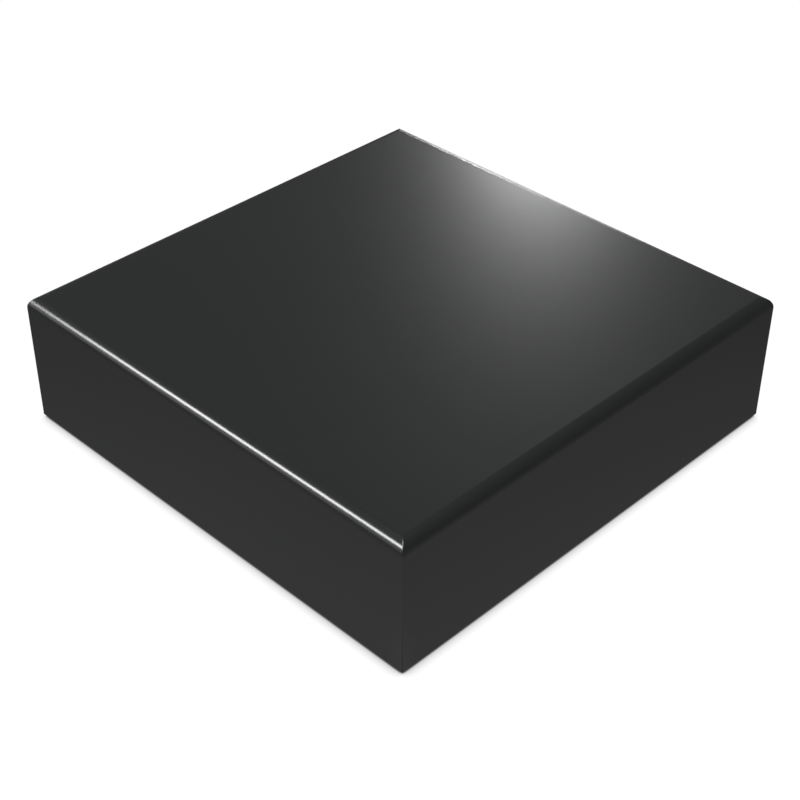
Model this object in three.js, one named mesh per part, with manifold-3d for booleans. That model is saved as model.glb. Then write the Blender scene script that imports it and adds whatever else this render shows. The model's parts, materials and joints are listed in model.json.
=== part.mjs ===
// A square streaming media player: a one-piece cover over an inset base, a circuit board with its
// connectors in a rear panel, and a sprung reset button and optical shutter.
// Millimetres. X runs right, Y to the rear and Z up. The origin is on the floor, under the centre.
import * as THREE from "three";
import { mergeVertices } from "three/addons/utils/BufferGeometryUtils.js";
import Module from "manifold-3d";

const wasm = await Module();
wasm.setup();

// ---------------------------------------------------------------- driving dimensions
const caseSide = 105;
const caseHeight = 28.9;
const footStand = 0.5;
const topRound = 2.5;
const uprightRound = 0.6;
const wall = 2;
const ceiling = 2.2;
const baseThickness = 1.8;
const baseRecess = 0.3;
// Slip is the gap between pieces that fit together, contact the gap between faces that rest on
// each other, and past is how far a cutter runs beyond the face it cuts.
const slip = 0.3;
const contact = 0.05;
const past = 1;
const boardThickness = 1.6;
const boardUnderside = 6.9;

const caseHalf = caseSide / 2;
const wallInside = caseHalf - wall;
const caseTop = footStand + caseHeight;
const ceilingZ = caseTop - ceiling;
const baseUnderside = footStand + baseRecess;
const baseTop = baseUnderside + baseThickness;
const baseHalf = wallInside - slip;
const boardTop = boardUnderside + boardThickness;
const seat = boardTop + contact;

// Case screws near the corners, rubber feet just inside them, and the board's own four screws.
const caseScrew = { x: 45.6, y: 45.7, headSeat: 2.8, headHole: 2.5, shankHole: 1.4, tip: 12 };
const boardScrew = { x: 38, front: -35, rear: 26, boardHole: 1.3, postRadius: 2.75, tip: 3.6 };
const screw = { headRadius: 2.2, shankRadius: 1, pilotRadius: 1.05 };
const shellPost = { radius: 3, pilotTop: 14, ribBottom: 9, ribThickness: 1.2 };
const baseCollar = { radius: 3, top: 4 };
const foot = { place: 38, radius: 6, edge: 0.3, recessRadius: 6.2, recessDepth: 0.7 };
const board = { halfWidth: 42.2, front: -40, rear: 47.7, corner: 1 };

// The base's rim inside the shell, its ventilation slots, and the shallow blank panel below it.
const rim = { top: 5.6, thickness: 1.2, corner: 1 };
const vent = { length: 10, width: 1.6, pitch: 4, count: 15, rows: [-40, 35] };
const blankPanel = { x: [-26, 26], y: [-14, 14], depth: 0.2 };

// The steel plate that weighs the case down, and the pegs that locate it.
const ballast = { x: [-30, 30], y: [-27, 20], corner: 2, thickness: 1.8 };
const peg = { x: 24, front: -22, rear: 15, radius: 1.6, hole: 1.8, top: 5.2 };

// The front wall is thinned where the infrared receiver and the lamp look through it.
const thinned = { x: [-14, 11], z: [8, 18], depth: 0.9 };

// The opening in the shell's rear wall, and the panel that fills it.
const notch = { halfWidth: 46.4, top: 23.5 };
const setBack = 0.2;
const panelFace = caseHalf - setBack;
const panelBack = wallInside - setBack;
const panelLift = 0.15;
const flange = { halfWidth: 42.4, front: 48.8, top: 24.8 };
const portFace = panelFace - setBack;
const holeGap = 0.25;

// The finned heat sink's base and the push pins that hold it down.
const sink = { x: [-22, 22], y: [-24, 16], z: [10.8, 13], top: 24 };
const fin = { pitch: 4, thickness: 1.2 };
const sinkPins = { front: [-18, -20], rear: [18, 12] };
const pinHole = { board: 1.6, sink: 1.7, clearing: 9.2 };

// Chips on the board: a centre in X and Y, and a width, length and height.
const processor = { centre: [0, -4], size: [17, 17, 1.3] };
const memoryLeft = { centre: [-15, -4], size: [9, 13, 1] };
const memoryRight = { centre: [15, -4], size: [9, 13, 1] };
const flash = { centre: [-28, 22], size: [11.5, 13, 1] };
const powerChip = { centre: [28, 17], size: [7, 7, 0.9] };
const crystal = { centre: [-28, 10], size: [3.2, 2.5, 0.8] };
const transformer = { centre: [0.5, 23], size: [12.7, 9.5, 5.5] };
const padSide = 15;
const shield = { x: [-21.5, 21.5], y: [-14.5, 6.5], top: 10.4, sheet: 0.4, rim: 1.4 };
const inductors = { front: [29, -2], rear: [29, 7] };
const capacitors = { left: [20, 29.5], right: [28, 29.5] };

// The radio module, its two aerials inside the side walls, and the leads to them.
const wifi = { centre: [-33, -2], size: [13, 15, 0.8] };
const wifiCan = { side: 11, height: 1.5 };
const aerial = { inner: 49.1, outer: 49.9, y: [-14, 14], z: [10, 20] };
const leadRadius = 0.6;

// What looks out through the front wall.
const infrared = { x: -8, width: 6.4, y: [-39.4, -35.6], height: 7, lensRadius: 2.2, lensZ: 4 };
const lamp = { x: 6, y: -37.5, size: [1.6, 0.8, 0.6] };
const guide = { width: 3, half: 1.5, gap: 0.2, throat: 1, top: 4, toWall: 0.6 };

// Connectors: each is centred on x, and its box is width by height on the board.
const power = { x: 36, width: 9, height: 10.4, front: 37.5, shoulder: 48.6, holeZ: 14.2 };
const powerHole = { radius: 3.15, depth: 11, pin: 1, nose: 4.2, pinSetBack: 1.2 };
const hdmi = { x: 19.5, width: 15, height: 5.9, front: 39.5, skin: 0.35, chamfer: 1.6 };
const hdmiTongue = { width: 11, z: [11, 12.1], plug: 2.4, setBack: 1.2 };
const ethernet = { x: 0.5, width: 16, height: 13.4, front: 30.5, skin: 0.3 };
const optical = { x: -15.5, width: 9.6, height: 9.8, front: 38 };
const emitter = { width: 6.4, y: [38.2, 41.3], z: [10.6, 16.2], radius: 1.4, tip: 44, eyeZ: 13.3 };
const usb = { x: -28.5, width: 13.1, height: 5.7, front: 38, skin: 0.3 };
const usbTongue = { width: 11.1, z: [11.7, 13.5], plug: 3, setBack: 1.4 };
const reset = { x: -39, z: 12, stem: 1.9, rim: 2.7, plunger: 1.5, stemGap: 0.15 };
const resetBox = { width: 6, y: [40.5, 45], top: 15, well: 42.2, wellGap: 0.08 };

// The plug's space in the network jack: wide above, then two steps down to the latch's slot.
const plugSpace = { half: 5.95, key: 3.2, hook: 1.9, top: 19.4, shelf: 12.3, step: 10.9, low: 9.9 };
const plugSpaceFront = 37.5;
const spring = { pitch: 1.02, count: 8, width: 0.4, front: 38.4, rear: 50.2 };

// The optical jack's hinged door, which swings inwards about its top edge.
const shutter = {
  x: span(optical.x, 6.2),
  pivotY: 51.2,
  pivotZ: 16.7,
  low: 10.2,
  thickness: 0.8,
  trunnion: 0.4,
  trunnionGap: 0.06,
  trunnionX: span(optical.x, 7.6),
  pocketX: span(optical.x, 7.9),
};

// ---------------------------------------------------------------- solids
// A range about a centre, and a range made larger at both ends.
function span(centre, width) {
  return [centre - width / 2, centre + width / 2];
}

function grown([low, high], gap) {
  return [low - gap, high + gap];
}

function solidFrom(geometry) {
  const bare = geometry.clone();
  bare.deleteAttribute("normal");
  bare.deleteAttribute("uv");
  const merged = mergeVertices(bare);
  const mesh = new wasm.Mesh({
    numProp: 3,
    vertProperties: merged.attributes.position.array,
    triVerts: new Uint32Array(merged.index.array),
  });
  return new wasm.Manifold(mesh);
}

function geometryFrom(solid) {
  const mesh = solid.getMesh();
  const shared = new THREE.BufferGeometry();
  shared.setAttribute("position", new THREE.BufferAttribute(mesh.vertProperties, 3));
  shared.setIndex(new THREE.BufferAttribute(mesh.triVerts, 1));
  const faceted = shared.toNonIndexed();
  faceted.computeVertexNormals();
  return faceted;
}

const joined = (...solids) => solids.reduce((whole, piece) => whole.add(piece));
const cut = (solid, ...tools) => solid.subtract(joined(...tools));

function block(x, y, z) {
  const geometry = new THREE.BoxGeometry(x[1] - x[0], y[1] - y[0], z[1] - z[0]);
  geometry.translate((x[0] + x[1]) / 2, (y[0] + y[1]) / 2, (z[0] + z[1]) / 2);
  return solidFrom(geometry);
}

// An upright cylinder at [x, y].
function post(radius, [x, y], z, sides = 16) {
  const geometry = new THREE.CylinderGeometry(radius, radius, z[1] - z[0], sides);
  geometry.rotateX(Math.PI / 2);
  geometry.translate(x, y, (z[0] + z[1]) / 2);
  return solidFrom(geometry);
}

// A cylinder lying along Y at x and z.
function barrel(radius, x, y, z, sides = 16) {
  const geometry = new THREE.CylinderGeometry(radius, radius, y[1] - y[0], sides);
  geometry.translate(x, (y[0] + y[1]) / 2, z);
  return solidFrom(geometry);
}

// A cylinder lying along X at y and z.
function axle(radius, x, y, z, sides = 12) {
  const geometry = new THREE.CylinderGeometry(radius, radius, x[1] - x[0], sides);
  geometry.rotateZ(Math.PI / 2);
  geometry.translate((x[0] + x[1]) / 2, y, z);
  return solidFrom(geometry);
}

// A profile of [radius, z] points turned about an upright axis at [x, y].
function turned(profile, [x, y], sides = 16) {
  const points = profile.map(([radius, z]) => new THREE.Vector2(radius, z));
  const geometry = new THREE.LatheGeometry(points, sides);
  geometry.rotateX(Math.PI / 2);
  geometry.translate(x, y, 0);
  return solidFrom(geometry);
}

function extruded(shape, depth, arcSteps = 2) {
  return new THREE.ExtrudeGeometry(shape, { depth, bevelEnabled: false, curveSegments: arcSteps });
}

// An outline in X and Y, raised along Z.
function slab(shape, z, arcSteps) {
  const geometry = extruded(shape, z[1] - z[0], arcSteps);
  geometry.translate(0, 0, z[0]);
  return solidFrom(geometry);
}

// An outline in X and Z, run along Y.
function duct(shape, y) {
  const geometry = extruded(shape, y[1] - y[0]);
  geometry.rotateX(Math.PI / 2);
  geometry.translate(0, y[1], 0);
  return solidFrom(geometry);
}

// An outline in Y and Z, run along X.
function rib(shape, x) {
  const geometry = extruded(shape, x[1] - x[0]);
  geometry.rotateX(Math.PI / 2);
  geometry.rotateZ(Math.PI / 2);
  geometry.translate(x[0], 0, 0);
  return solidFrom(geometry);
}

const polygon = (points) => new THREE.Shape(points.map(([a, b]) => new THREE.Vector2(a, b)));

function roundedRectangle([left, right], [low, high], radius) {
  const shape = new THREE.Shape();
  const quarter = Math.PI / 2;
  shape.absarc(right - radius, low + radius, radius, -quarter, 0);
  shape.absarc(right - radius, high - radius, radius, 0, quarter);
  shape.absarc(left + radius, high - radius, radius, quarter, 2 * quarter);
  shape.absarc(left + radius, low + radius, radius, 2 * quarter, 3 * quarter);
  shape.closePath();
  return shape;
}

// A round wire along a smooth curve through points.
function wire(points, radius, steps) {
  const section = new THREE.Shape();
  section.absarc(0, 0, radius, 0, 2 * Math.PI);
  const path = new THREE.CatmullRomCurve3(points.map((p) => new THREE.Vector3(...p)));
  const options = { steps, extrudePath: path, bevelEnabled: false, curveSegments: 4 };
  return solidFrom(new THREE.ExtrudeGeometry(section, options));
}

// Four spots, mirrored about X = 0, and about Y = 0 too unless a front is given.
const corners = (x, rear, front = -rear) => ({
  front_left: [-x, front],
  front_right: [x, front],
  rear_left: [-x, rear],
  rear_right: [x, rear],
});
const caseScrews = corners(caseScrew.x, caseScrew.y);
const feet = corners(foot.place, foot.place);
const boardScrews = corners(boardScrew.x, boardScrew.rear, boardScrew.front);
const pegs = corners(peg.x, peg.rear, peg.front);
const postAtEach = (spots, radius, z, sides) =>
  Object.values(spots).map((at) => post(radius, at, z, sides));

// ---------------------------------------------------------------- case
// A square block with the round along its top edges and the smaller round up its corners.
function caseBlank() {
  const flat = caseHalf - topRound;
  const square = polygon([
    [-flat, -flat],
    [flat, -flat],
    [flat, flat],
    [-flat, flat],
  ]);
  const bevelled = new THREE.ExtrudeGeometry(square, {
    depth: caseHeight,
    bevelThickness: topRound,
    bevelSize: topRound,
    bevelSegments: 6,
  });
  bevelled.translate(0, 0, footStand - topRound);
  const full = span(0, caseSide);
  const upright = slab(roundedRectangle(full, full, uprightRound), [footStand, caseTop]);
  return solidFrom(bevelled).intersect(upright);
}

// A screw post under the ceiling, tied to both walls of its corner by thin ribs.
function cornerPost([x, y]) {
  const intoWall = wallInside + past;
  const ribTop = ceilingZ + past;
  const reach = (from, to) => [Math.min(from, to), Math.max(from, to)];
  const tube = post(shellPost.radius, [x, y], [baseCollar.top + contact, ribTop]);
  const sideRib = block(
    reach(x, Math.sign(x) * intoWall),
    span(y, shellPost.ribThickness),
    [shellPost.ribBottom, ribTop],
  );
  const endRib = block(
    span(x, shellPost.ribThickness),
    reach(y, Math.sign(y) * intoWall),
    [y > 0 ? notch.top + wall : shellPost.ribBottom, ribTop],
  );
  return joined(tube, sideRib, endRib);
}

function topShell() {
  const inside = span(0, 2 * wallInside);
  const below = footStand - past;
  const hollow = block(inside, inside, [below, ceilingZ]);
  const rearNotch = block(
    span(0, 2 * notch.halfWidth),
    [wallInside - past, caseHalf + past],
    [below, notch.top],
  );
  const thinning = block(
    thinned.x,
    [-wallInside - thinned.depth, -wallInside + past],
    thinned.z,
  );
  const posts = Object.values(caseScrews).map(cornerPost);
  const pilots = postAtEach(caseScrews, screw.pilotRadius, [0, shellPost.pilotTop], 12);
  return cut(joined(cut(caseBlank(), hollow, rearNotch, thinning), ...posts), ...pilots);
}

function ventSlots() {
  const z = [baseUnderside - past, baseTop + past];
  const slots = [];
  for (const y of vent.rows) {
    for (let i = 0; i < vent.count; i++) {
      const x = (i - (vent.count - 1) / 2) * vent.pitch;
      const outline = roundedRectangle(span(x, vent.width), span(y, vent.length), vent.width / 2);
      slots.push(slab(outline, z, 1));
    }
  }
  return joined(...slots);
}

function baseCover() {
  const outer = span(0, 2 * baseHalf);
  const inner = grown(outer, -rim.thickness);
  const hollowZ = [baseTop, rim.top + past];
  const root = baseTop - past;
  const body = slab(roundedRectangle(outer, outer, rim.corner), [baseUnderside, rim.top]);
  const hollow = block(inner, inner, hollowZ);
  const panelGap = block(
    span(0, 2 * flange.halfWidth + 1),
    [inner[1] - past, outer[1] + past],
    hollowZ,
  );
  const blankRecess = block(blankPanel.x, blankPanel.y, [0, baseUnderside + blankPanel.depth]);
  const raised = joined(
    cut(body, hollow, panelGap),
    ...postAtEach(caseScrews, baseCollar.radius, [root, baseCollar.top]),
    ...postAtEach(boardScrews, boardScrew.postRadius, [root, boardUnderside - contact]),
    ...postAtEach(pegs, peg.radius, [root, peg.top], 12),
  );
  return cut(
    raised,
    ventSlots(),
    blankRecess,
    ...postAtEach(caseScrews, caseScrew.headHole, [0, caseScrew.headSeat]),
    ...postAtEach(caseScrews, caseScrew.shankHole, [0, baseCollar.top + past], 12),
    ...postAtEach(boardScrews, screw.pilotRadius, [baseTop + slip, boardTop], 12),
    ...postAtEach(feet, foot.recessRadius, [0, baseUnderside + foot.recessDepth], 32),
  );
}

function rubberFoot(at) {
  const top = baseUnderside + foot.recessDepth - contact;
  const profile = [
    [0, 0],
    [foot.radius - foot.edge, 0],
    [foot.radius, foot.edge],
    [foot.radius, top],
    [0, top],
  ];
  return turned(profile, at, 32);
}

// A pan-head screw pointing up or down, with a cross recess in its head.
function crossScrew(at, { headFace, headUnder, tip }) {
  const way = Math.sign(tip - headUnder);
  const ordered = (a, b) => [Math.min(a, b), Math.max(a, b)];
  const head = post(screw.headRadius, at, ordered(headFace, headUnder));
  const intoHead = headUnder - way * 0.2;
  const shank = post(screw.shankRadius, at, ordered(intoHead, tip), 12);
  const armLength = screw.headRadius * 1.1;
  const armWidth = screw.headRadius * 0.26;
  const recessDepth = 0.6;
  const recess = ordered(headFace - way, headFace + way * recessDepth);
  const arms = joined(
    block(span(at[0], armLength), span(at[1], armWidth), recess),
    block(span(at[0], armWidth), span(at[1], armLength), recess),
  );
  return cut(joined(head, shank), arms);
}

const caseScrewEnds = {
  headFace: caseScrew.headSeat - 1.5,
  headUnder: caseScrew.headSeat - contact,
  tip: caseScrew.tip,
};
const boardScrewEnds = {
  headFace: boardTop + 1.4,
  headUnder: boardTop + contact,
  tip: boardScrew.tip,
};

// Cutouts in the panel, one for each connector, a little larger than the connector's nose.
function portCutouts() {
  const through = grown([flange.front, panelFace], past);
  const boxHole = (port) =>
    block(
      grown(span(port.x, port.width), holeGap),
      through,
      grown([seat, seat + port.height], holeGap),
    );
  return joined(
    boxHole(hdmi),
    boxHole(ethernet),
    boxHole(optical),
    boxHole(usb),
    barrel(powerHole.nose + holeGap, power.x, through, power.holeZ, 32),
    barrel(reset.stem + reset.stemGap, reset.x, through, reset.z, 24),
  );
}

function rearPanel() {
  const face = block(
    span(0, 2 * (notch.halfWidth - slip)),
    [panelBack, panelFace],
    [footStand + panelLift, notch.top - slip],
  );
  const lip = block(
    span(0, 2 * flange.halfWidth),
    [flange.front, panelBack],
    [baseTop + panelLift, flange.top],
  );
  return cut(joined(face, lip), portCutouts());
}

// ---------------------------------------------------------------- board and cooling
function mainBoard() {
  const outline = roundedRectangle(
    span(0, 2 * board.halfWidth),
    [board.front, board.rear],
    board.corner,
  );
  const through = grown([boardUnderside, boardTop], past);
  return cut(
    slab(outline, [boardUnderside, boardTop]),
    ...postAtEach(boardScrews, boardScrew.boardHole, through, 12),
    ...postAtEach(sinkPins, pinHole.board, through, 12),
  );
}

function ballastPlate() {
  const low = baseTop + contact;
  const high = low + ballast.thickness;
  const outline = roundedRectangle(ballast.x, ballast.y, ballast.corner);
  return cut(slab(outline, [low, high]), ...postAtEach(pegs, peg.hole, grown([low, high], past), 12));
}

function heatSink() {
  const fins = [];
  const finCount = Math.floor((sink.x[1] - sink.x[0]) / fin.pitch);
  const finZ = [(sink.z[0] + sink.z[1]) / 2, sink.top];
  for (let i = 0; i < finCount; i++) {
    const x = (i - (finCount - 1) / 2) * fin.pitch;
    fins.push(block(span(x, fin.thickness), sink.y, finZ));
  }
  const clearings = Object.values(sinkPins).map(([x, y]) =>
    block(span(x, pinHole.clearing), span(y, pinHole.clearing), [sink.z[1], sink.top + past]),
  );
  const holes = postAtEach(sinkPins, pinHole.sink, grown(sink.z, past), 12);
  return cut(joined(block(sink.x, sink.y, sink.z), ...fins), ...clearings, ...holes);
}

// A push pin: a head on the heat sink, a shank through the board and a barb below it.
function sinkPin(at) {
  const head = { radius: 2.4, low: sink.z[1] + contact, high: sink.z[1] + 1.3 };
  const barb = { radius: 1.9, high: boardUnderside - contact, low: boardUnderside - 1.3 };
  const shank = 1.4;
  const profile = [
    [0, barb.low - 0.6],
    [barb.radius - 0.7, barb.low - 0.6],
    [barb.radius, barb.high],
    [shank, barb.high],
    [shank, head.low],
    [head.radius, head.low],
    [head.radius, head.high],
    [0, head.high],
  ];
  return turned(profile, at, 12);
}

// A chip lying on the board, or at a given height.
function chip({ centre: [x, y], size: [width, length, height] }, z = seat) {
  return block(span(x, width), span(y, length), [z, z + height]);
}

function thermalPad() {
  const low = seat + processor.size[2] + contact;
  const [x, y] = processor.centre;
  return block(span(x, padSide), span(y, padSide), [low, sink.z[0] - contact]);
}

// A folded tin frame round the processor and the memory, with a rim along its top.
function shieldFrame() {
  const { x, y, top, sheet } = shield;
  const outer = block(x, y, [seat, top]);
  const inside = block(grown(x, -sheet), grown(y, -sheet), [0, top - sheet]);
  const window = block(grown(x, -shield.rim), grown(y, -shield.rim), [0, top + past]);
  return cut(outer, inside, window);
}

// A shielded coil: a square body with its corners cut off.
function inductor([x, y]) {
  const half = 3.5;
  const corner = 1.2;
  const height = 4;
  const outline = polygon([
    [x - half + corner, y - half],
    [x + half - corner, y - half],
    [x + half, y - half + corner],
    [x + half, y + half - corner],
    [x + half - corner, y + half],
    [x - half + corner, y + half],
    [x - half, y + half - corner],
    [x - half, y - half + corner],
  ]);
  return slab(outline, [seat, seat + height]);
}

// A can capacitor on its square foot, with the crimp round the can.
function capacitor(at) {
  const radius = 3.15;
  const foot = { centre: at, size: [6.6, 6.6, 0.9] };
  const crimp = { depth: 0.3, low: 1.5, middle: 1.9, high: 2.3 };
  const shoulder = 7.3;
  const top = 7.7;
  const profile = [
    [0, 0.6],
    [radius, 0.6],
    [radius, crimp.low],
    [radius - crimp.depth, crimp.middle],
    [radius, crimp.high],
    [radius, shoulder],
    [radius - 0.4, top],
    [0, top],
  ];
  const can = turned(profile.map(([r, z]) => [r, seat + z]), at, 20);
  return joined(can, chip(foot));
}

// ---------------------------------------------------------------- radio
function wifiShield() {
  const can = { centre: wifi.centre, size: [wifiCan.side, wifiCan.side, wifiCan.height] };
  return chip(can, seat + wifi.size[2] + contact);
}

// A strip folded to and fro by two slots, each cut in from one end.
function antenna(side) {
  const x = [side * aerial.inner, side * aerial.outer].sort((a, b) => a - b);
  const slotX = grown(x, past);
  const [front, rear] = aerial.y;
  const link = 5;
  const lowSlot = block(slotX, [front + link, rear + past], [13.4, 14.2]);
  const highSlot = block(slotX, [front - past, rear - link], [16.4, 17.2]);
  return cut(block(x, aerial.y, aerial.z), lowSlot, highSlot);
}

function antennaLeadLeft() {
  const points = [
    [-35, -9.6, 9.6],
    [-35.4, -12, 9.3],
    [-38.5, -15.5, 9.3],
    [-43, -15.6, 10.2],
    [-47.2, -12.6, 11.2],
    [-48.3, -9.6, 11.7],
  ];
  return wire(points, leadRadius, 16);
}

function antennaLeadRight() {
  const points = [
    [-31, -9.6, 9.6],
    [-30.8, -13, 9.3],
    [-29.5, -22, 9.25],
    [-24, -29, 9.25],
    [-10, -30.6, 9.25],
    [10, -30.6, 9.25],
    [30, -29.4, 9.25],
    [41, -26.5, 9.5],
    [46.6, -19, 10.8],
    [48.3, -10, 11.7],
  ];
  return wire(points, leadRadius, 40);
}

// ---------------------------------------------------------------- front of the board
function infraredReceiver() {
  const body = block(span(infrared.x, infrared.width), infrared.y, [seat, seat + infrared.height]);
  const lensY = [infrared.y[0] - 1.6, infrared.y[1] - 1.4];
  return joined(body, barrel(infrared.lensRadius, infrared.x, lensY, seat + infrared.lensZ));
}

// A clear bar that picks up the lamp's light and turns it forward to the thinned wall.
function lightGuide() {
  const low = seat + lamp.size[2] + guide.gap;
  const throat = low + guide.throat;
  const top = low + guide.top;
  const tip = -wallInside - guide.toWall;
  const side = polygon([
    [lamp.y + guide.half, low],
    [lamp.y + guide.half, top - 1.4],
    [lamp.y + 0.1, top],
    [tip, top],
    [tip, throat],
    [lamp.y - guide.half, throat],
    [lamp.y - guide.half, low],
  ]);
  return rib(side, span(lamp.x, guide.width));
}

// ---------------------------------------------------------------- connectors
function ethernetCavity() {
  const { half, key, hook, top, shelf, step, low } = plugSpace;
  const x = ethernet.x;
  const outline = polygon([
    [x - half, shelf],
    [x - key, shelf],
    [x - key, step],
    [x - hook, step],
    [x - hook, low],
    [x + hook, low],
    [x + hook, step],
    [x + key, step],
    [x + key, shelf],
    [x + half, shelf],
    [x + half, top],
    [x - half, top],
  ]);
  return duct(outline, [plugSpaceFront, portFace + past]);
}

function ethernetJack() {
  const x = grown(span(ethernet.x, ethernet.width), -ethernet.skin - contact);
  const z = [seat, seat + ethernet.height - ethernet.skin - contact];
  const y = [ethernet.front + ethernet.skin + contact, portFace - ethernet.skin - contact];
  return cut(block(x, y, z), ethernetCavity());
}

function ethernetShield() {
  const x = span(ethernet.x, ethernet.width);
  const y = [ethernet.front, portFace];
  const z = [seat, seat + ethernet.height];
  const inside = block(
    grown(x, -ethernet.skin),
    grown(y, -ethernet.skin),
    [seat - past, z[1] - ethernet.skin],
  );
  return cut(block(x, y, z), inside, ethernetCavity());
}

// Eight spring wires sloping back from the mouth to a bar across the back of the cavity.
function ethernetContacts() {
  const side = polygon([
    [spring.front, 17.4],
    [spring.rear, 18.6],
    [spring.rear, 19],
    [spring.front, 17.9],
  ]);
  const wires = [];
  for (let i = 0; i < spring.count; i++) {
    const x = ethernet.x + (i - (spring.count - 1) / 2) * spring.pitch;
    wires.push(rib(side, span(x, spring.width)));
  }
  const barY = [plugSpaceFront + 0.1, spring.front + 0.5];
  const bar = block(span(ethernet.x, 10), barY, [16.6, 19.2]);
  return joined(bar, ...wires);
}

// The video connector's skin: narrower along its lower edge.
function hdmiOutline(inset) {
  const [left, right] = grown(span(hdmi.x, hdmi.width), -inset);
  const low = seat + inset;
  const high = seat + hdmi.height - inset;
  const chamfer = hdmi.chamfer - inset * 0.4;
  return polygon([
    [left + chamfer, low],
    [right - chamfer, low],
    [right, low + chamfer],
    [right, high],
    [left, high],
    [left, low + chamfer],
  ]);
}

function hdmiShell() {
  const y = [hdmi.front, portFace];
  return cut(duct(hdmiOutline(0), y), duct(hdmiOutline(hdmi.skin), grown(y, past)));
}

function hdmiInsert() {
  const { width, z, plug, setBack: tipGap } = hdmiTongue;
  const back = duct(hdmiOutline(hdmi.skin + contact), [hdmi.front, hdmi.front + plug]);
  const tongueY = [hdmi.front + plug - 0.4, portFace - tipGap];
  return joined(back, block(span(hdmi.x, width), tongueY, z));
}

const usbSection = (inset) => [
  grown(span(usb.x, usb.width), -inset),
  grown([seat, seat + usb.height], -inset),
];

function usbShell() {
  const [x, z] = usbSection(0);
  const [insideX, insideZ] = usbSection(usb.skin);
  const y = [usb.front, portFace];
  return cut(block(x, y, z), block(insideX, grown(y, past), insideZ));
}

function usbInsert() {
  const [x, z] = usbSection(usb.skin + contact);
  const { width, z: tongueZ, plug, setBack: tipGap } = usbTongue;
  const back = block(x, [usb.front, usb.front + plug], z);
  const tongueY = [usb.front + plug - 1, portFace - tipGap];
  return joined(back, block(span(usb.x, width), tongueY, tongueZ));
}

function opticalJack() {
  const body = block(
    span(optical.x, optical.width),
    [optical.front, portFace],
    [seat, seat + optical.height],
  );
  const cavity = block(span(optical.x, 6.6), [42, portFace + past], [10, 17.3]);
  const pocketX = grown(span(optical.x, emitter.width), 0.2);
  const pocketY = [optical.front - past, emitter.y[1] + 0.1];
  const pocket = block(pocketX, pocketY, grown(emitter.z, 0.2));
  const eye = barrel(emitter.radius + 0.2, optical.x, [41, 43], emitter.eyeZ);
  const hingeRadius = shutter.trunnion + shutter.trunnionGap;
  const hinge = axle(hingeRadius, shutter.pocketX, shutter.pivotY, shutter.pivotZ);
  return cut(body, cavity, pocket, eye, hinge);
}

function opticalShutter() {
  const half = shutter.thickness / 2;
  const door = block(
    shutter.x,
    [shutter.pivotY - half, shutter.pivotY + half],
    [shutter.low, shutter.pivotZ],
  );
  const knuckle = axle(half, shutter.x, shutter.pivotY, shutter.pivotZ);
  const trunnions = axle(shutter.trunnion, shutter.trunnionX, shutter.pivotY, shutter.pivotZ);
  return joined(door, knuckle, trunnions);
}

function opticalEmitter() {
  const body = block(span(optical.x, emitter.width), emitter.y, emitter.z);
  const stem = barrel(emitter.radius, optical.x, [emitter.y[1] - 0.3, emitter.tip], emitter.eyeZ);
  return joined(body, stem);
}

function powerJack() {
  const body = block(
    span(power.x, power.width),
    [power.front, power.shoulder],
    [seat, seat + power.height],
  );
  const noseY = [power.shoulder - past, portFace];
  const holeY = [portFace - powerHole.depth, portFace + past];
  const nose = barrel(powerHole.nose, power.x, noseY, power.holeZ, 32);
  const hole = barrel(powerHole.radius, power.x, holeY, power.holeZ, 24);
  return cut(joined(body, nose), hole);
}

function powerPin() {
  const back = portFace - powerHole.depth + contact;
  const rootLength = 1.5;
  const rootY = [back, back + rootLength];
  const pinY = [back + 1, portFace - powerHole.pinSetBack];
  const root = barrel(powerHole.radius - 0.1, power.x, rootY, power.holeZ, 24);
  return joined(root, barrel(powerHole.pin, power.x, pinY, power.holeZ, 12));
}

function resetSwitch() {
  const { width, y, top, well, wellGap } = resetBox;
  const body = block(span(reset.x, width), y, [seat, top]);
  return cut(body, barrel(reset.plunger + wellGap, reset.x, [well, y[1] + past], reset.z, 24));
}

function resetPlunger() {
  return barrel(reset.plunger, reset.x, [resetBox.well + 1, 47.65], reset.z, 24);
}

function resetButton() {
  const rimFlange = barrel(reset.rim, reset.x, [47.7, flange.front - 0.1], reset.z, 24);
  const stem = barrel(reset.stem, reset.x, [48, panelFace], reset.z, 24);
  return joined(rimFlange, stem);
}

// ---------------------------------------------------------------- materials
const finish = (color, roughness, metalness = 0) =>
  new THREE.MeshStandardMaterial({ color, roughness, metalness });

const shellBlack = finish(0x303231, 0.32);
const baseBlack = finish(0x232423, 0.6);
const panelBlack = finish(0x1a1b1b, 0.45);
const rubber = finish(0x191919, 0.85);
const screwSteel = finish(0x5c5e60, 0.35, 1);
const sheetSteel = finish(0x9a9c9d, 0.3, 1);
const ballastSteel = finish(0x77797b, 0.5, 1);
const aluminium = finish(0xb4b6b8, 0.4, 1);
const boardGreen = finish(0x14412c, 0.5);
const chipBlack = finish(0x1b1c1e, 0.55);
const connectorBlack = finish(0x111112, 0.5);
const gold = finish(0xc9a24a, 0.3, 1);
const padGrey = finish(0x8d9aa5, 0.9);
const leadGrey = finish(0x2b2b2d, 0.6);
const clear = finish(0xd8dcdc, 0.1);
const pinWhite = finish(0xd5d4cc, 0.6);

// ---------------------------------------------------------------- assembly
const player = new THREE.Group();

function place(name, solid, material, group = player) {
  const mesh = new THREE.Mesh(geometryFrom(solid), material);
  mesh.name = name;
  group.add(mesh);
}

function placeEach(prefix, spots, make, material) {
  for (const [corner, at] of Object.entries(spots)) {
    place(`${prefix}_${corner}`, make(at), material);
  }
}

place("top_shell", topShell(), shellBlack);
place("base_cover", baseCover(), baseBlack);
place("rear_io_panel", rearPanel(), panelBlack);
placeEach("foot", feet, rubberFoot, rubber);
placeEach("case_screw", caseScrews, (at) => crossScrew(at, caseScrewEnds), screwSteel);
place("ballast_plate", ballastPlate(), ballastSteel);

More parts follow.
